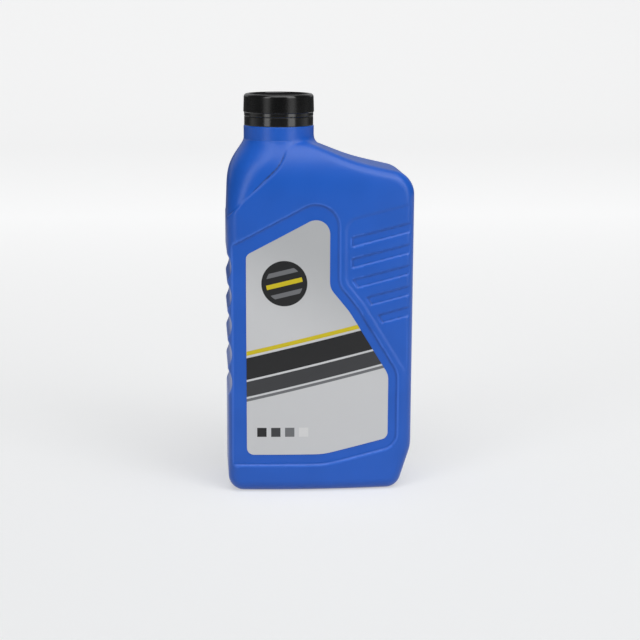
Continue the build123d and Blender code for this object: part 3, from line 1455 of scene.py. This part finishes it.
@dataclass
class TamperBand:
    """The band that stays on the neck, with the stubs of its bridges."""

    axis_x: float
    bottom: float
    top: float
    segments: int = 160
    radius: float = 19.7 * MM
    bore_radius: float = 18.7 * MM
    lip_radius: float = 17.8 * MM
    lip_height: float = 1.0 * MM
    bridge_count: int = 10
    bridge_sides: int = 12
    bridge_width: float = 1.0 * MM
    bridge_depth: float = 0.4 * MM
    bridge_height: float = 0.25 * MM
    groove_depth: float = 0.5 * MM
    groove_gap: float = 0.05 * MM

    def profile(self) -> list[Point]:
        """Profile of the ring, from its lip round its outside and back down its bore.

        Returns:
            Radius and height of each point.
        """
        shoulder = self.top - self.bridge_height
        head = self.top - self.groove_gap
        groove_radius = self.radius - self.groove_depth
        lip_top = self.bottom + self.lip_height
        corners = [
            ((self.lip_radius, self.bottom), 0),
            ((self.radius, self.bottom), 0.4 * MM),
            ((self.radius, shoulder), 0.15 * MM),
            ((groove_radius, shoulder), 0),
            ((groove_radius, head), 0),
            ((self.bore_radius, head), 0),
            ((self.bore_radius, lip_top), 0.2 * MM),
            ((self.lip_radius, lip_top), 0),
        ]
        return soften(corners)

    def build(self, finishes: Finishes, bars: Tree) -> None:
        """Build the ring and its bridges.

        Args:
            finishes: The materials.
            bars: The geometry tree for bars round an axis.
        """
        bm = turned(self.profile(), self.axis_x, self.segments, closed=True)
        ring = finish_mesh("band_ring", bm, finishes.black)
        place_piece(ring, "bottle", "black_plastic", "tamper_band")
        values = {
            "Axis": (self.axis_x, 0.0, self.top - self.bridge_height / 2),
            "Count": self.bridge_count,
            "Radius": (self.radius + self.bore_radius) / 2,
            "Bar Size": (self.bridge_depth / 2, self.bridge_width / 2, self.bridge_height),
            "Bar Sides": self.bridge_sides,
            "Material": finishes.black,
        }
        bm = run_tree("band_bridges", bars, values)
        bridges = finish_mesh("band_bridges", bm, finishes.black)
        place_piece(bridges, "bottle", "black_plastic")


@dataclass
class FrontLabel:
    """The label, bent to the crown of the panel it lies in."""

    crown_radius: float = 499.15 * MM
    thickness: float = 0.2 * MM
    strip: float = 3.0 * MM
    facing: float = -0.5

    def crown(self, x: float) -> float:
        """How far the crowned face has fallen back at a place across it."""
        return self.crown_radius - math.sqrt(self.crown_radius**2 - x**2)

    def build(self, finishes: Finishes) -> None:
        """Build the label from the outline of its solid.

        Args:
            finishes: The materials.
        """
        low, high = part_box("front_label")
        bm = bmesh.new()
        bm.from_mesh(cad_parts["front_label"].data)
        bmesh.ops.remove_doubles(bm, verts=bm.verts, dist=SPECK)
        others = [face for face in bm.faces if face.normal.y > self.facing]
        bmesh.ops.delete(bm, geom=others, context="FACES")
        bmesh.ops.dissolve_faces(bm, faces=bm.faces)
        place = low[0] + self.strip
        while place < high[0]:
            bmesh.ops.bisect_plane(
                bm,
                geom=[*bm.verts, *bm.edges, *bm.faces],
                dist=SPECK,
                plane_co=(place, 0, 0),
                plane_no=(1, 0, 0),
            )
            place += self.strip
        for vert in bm.verts:
            vert.co.y = low[1] + self.crown(vert.co.x)
        back = bmesh.ops.extrude_face_region(bm, geom=bm.faces, use_keep_orig=True)
        for part in back["geom"]:
            if isinstance(part, bmesh.types.BMVert):
                part.co.y += self.thickness
        label = finish_mesh("label_sheet", bm, finishes.film)
        place_piece(label, "bottle", "label_film", "front_label")


@dataclass(frozen=True)
class Lamp:
    """A soft box, placed round the bottle and aimed at it."""

    name: str
    azimuth: float
    distance: float
    height: float
    width: float
    length: float
    radiance: float
    aim: float = 0.12

    def build(self) -> None:
        """Build the lamp."""
        light = bpy.data.lights.new(self.name, "AREA")
        light.shape = "RECTANGLE"
        light.size = self.width
        light.size_y = self.length
        light.energy = self.radiance * math.pi * self.width * self.length
        turn = math.radians(self.azimuth)
        x, y = self.distance * math.sin(turn), -self.distance * math.cos(turn)
        place = Vector((x, y, self.height))
        lamp = add_object(self.name, light)
        lamp.location = place
        way = Vector((0, 0, self.aim)) - place
        lamp.rotation_euler = way.to_track_quat("-Z", "Y").to_euler()


@dataclass
class Studio:
    """Pale sweep, soft lamps and the camera of the photograph."""

    sweep_width: float = 8.0
    sweep_front: float = -3.0
    sweep_back: float = 2.2
    sweep_radius: float = 0.8
    sweep_steps: int = 24
    sweep_height: float = 4.0
    sweep_colour: Colour = (0.50, 0.508, 0.514)
    sweep_gloss: Point = (0.85, 0.95)
    sweep_specular: float = 0.1
    fibre_scale: float = 60.0
    fibre_detail: float = 2.0
    lift_near: float = 0.484
    lift_slope: float = 0.26
    lift_far: float = 0.785
    mirror_front: Point = (-1.4, -0.1)
    mirror_back: Point = (0.5, 1.2)
    mirror_wall: Point = (0.42, 0.52)
    mirror_wall_share: float = 0.5
    world_colour: Colour = (0.95, 0.97, 1.0)
    world_strength: float = 0.10
    lamps: tuple[Lamp, ...] = (
        Lamp("left_strip", -42.6, 1.1, 0.55, 0.40, 1.1, 2.2),
        Lamp("right_strip", 39.6, 1.1, 0.55, 0.55, 1.1, 2.2),
        Lamp("front_box", 14.0, 0.8, 1.6, 1.9, 1.4, 2.1),
        Lamp("back_box", 180.0, 0.35, 1.7, 1.4, 1.4, 0.4),
    )
    camera_place: tuple[float, float, float] = (-0.06858, -0.86717, 0.2761)
    camera_heading: float = 4.62
    camera_pitch: float = 11.69
    camera_roll: float = 0.23
    camera_lens: float = 85.1
    camera_sensor: float = 36.0

    def sweep_mesh(self) -> bpy.types.Mesh:
        """Shape the floor that curves up into the backdrop.

        Returns:
            The mesh.
        """
        line = [(self.sweep_front, 0.0)]
        for step in range(self.sweep_steps + 1):
            turn = math.pi / 2 * step / self.sweep_steps
            rise = self.sweep_radius * (1 - math.cos(turn))
            line.append((self.sweep_back + self.sweep_radius * math.sin(turn), rise))
        line.append((self.sweep_back + self.sweep_radius, self.sweep_height))
        half = self.sweep_width / 2
        bm = bmesh.new()
        rows = [[bm.verts.new((side, y, z)) for side in (-half, half)] for y, z in line]
        for near, far in zip(rows, rows[1:]):
            bm.faces.new((near[0], near[1], far[1], far[0]))
        mesh = plain_mesh("sweep", bm)
        mesh.polygons.foreach_set("use_smooth", [True] * len(mesh.polygons))
        return mesh

    def sweep_paper(self) -> Material:
        """Make the paper, which is lifted to near white for the camera and in what is mirrored.

        Returns:
            The material.
        """
        draft = Draft.start("sweep_paper")
        board = draft.board
        inputs = {"Vector": draft.position, "Scale": self.fibre_scale}
        inputs |= {"Detail": self.fibre_detail}
        fibre = board.add("ShaderNodeTexNoise", inputs).outputs["Fac"]
        axes = board.add("ShaderNodeSeparateXYZ", {"Vector": draft.position}).outputs
        path = board.add("ShaderNodeLightPath").outputs
        front = board.ramp(axes["Y"], *self.mirror_front, 0.0, 1.0)
        back = board.ramp(axes["Y"], *self.mirror_back, 1.0, 0.0)
        wall = board.ramp(axes["Z"], *self.mirror_wall, 0.0, self.mirror_wall_share)
        mirrored = board.math("MAXIMUM", board.math("MULTIPLY", front, back), wall)
        behind = board.math("MULTIPLY", path["Is Glossy Ray"], mirrored)
        seen = board.math("MAXIMUM", path["Is Camera Ray"], behind)
        lift = board.math("MULTIPLY_ADD", axes["Y"], self.lift_slope, self.lift_near)
        share = board.math("MULTIPLY", seen, board.math("MINIMUM", lift, self.lift_far))
        values = {
            "Base Color": rgba(self.sweep_colour),
            "Roughness": board.ramp(fibre, *NOISE_RANGE, *self.sweep_gloss),
            "Specular IOR Level": self.sweep_specular,
            "Emission Color": board.blend(share, rgba((0.0, 0.0, 0.0)), rgba((1.0, 1.0, 1.0))),
            "Emission Strength": 1.0,
        }
        return draft.finish(values)

    def build_sweep(self) -> None:
        """Build the floor and the backdrop."""
        mesh = self.sweep_mesh()
        mesh.materials.append(self.sweep_paper())
        sweep = add_object("sweep", mesh)

    def build_world(self) -> None:
        """Set the even light that comes from all round."""
        scene = bpy.context.scene
        scene.world = scene.world or bpy.data.worlds.new("studio")
        scene.world.use_nodes = True
        background = scene.world.node_tree.nodes["Background"]
        background.inputs["Color"].default_value = rgba(self.world_colour)
        background.inputs["Strength"].default_value = self.world_strength

    def build_camera(self) -> None:
        """Set up the camera of the photograph."""
        angles = (self.camera_heading, self.camera_pitch, self.camera_roll)
        turn, pitch, roll = (math.radians(angle) for angle in angles)
        level_part = math.cos(pitch)
        ahead = Vector(
            (math.sin(turn) * level_part, math.cos(turn) * level_part, -math.sin(pitch))
        )
        level = ahead.cross(Vector((0, 0, 1))).normalized()
        upright = level.cross(ahead)
        right = level * math.cos(roll) + upright * math.sin(roll)
        up = upright * math.cos(roll) - level * math.sin(roll)
        axes = Matrix((right, up, -ahead)).transposed().to_4x4()
        camera = bpy.data.cameras.new("photo_camera")
        camera.lens = self.camera_lens
        camera.sensor_width = self.camera_sensor
        holder = add_object("photo_camera", camera)
        holder.matrix_world = Matrix.Translation(self.camera_place) @ axes
        bpy.context.scene.camera = holder

    def build(self) -> None:
        """Build the whole studio."""
        self.build_sweep()
        self.build_world()
        for lamp in self.lamps:
            lamp.build()
        self.build_camera()
        bpy.context.scene.view_settings.view_transform = "Standard"


def dress_liner(finishes: Finishes) -> None:
    """Give the sealing disc its foam.

    Args:
        finishes: The materials.
    """
    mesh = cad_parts["cap_liner"].data
    mesh.materials.clear()
    mesh.materials.append(finishes.foam)
    log.info("cap_liner: foam")


def main() -> None:
    """Build the bottle and its studio."""
    logging.basicConfig(level=logging.INFO, format="%(message)s")
    finishes = Finishes.build()
    cap_low, cap_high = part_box("screw_cap")
    band_low, band_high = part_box("tamper_band")
    axis_x = (cap_low[0] + cap_high[0]) / 2
    screw = ScrewForm(axis_x)
    BlownBottle(axis_x, rim=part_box("bottle")[1][2]).build(finishes, screw)
    ScrewCap(axis_x, bottom=cap_low[2], top=cap_high[2]).build(finishes, screw)
    TamperBand(axis_x, bottom=band_low[2], top=band_high[2]).build(finishes, bar_ring_tree())
    FrontLabel().build(finishes)
    dress_liner(finishes)
    Studio().build()


if __name__ == "__main__":
    main()
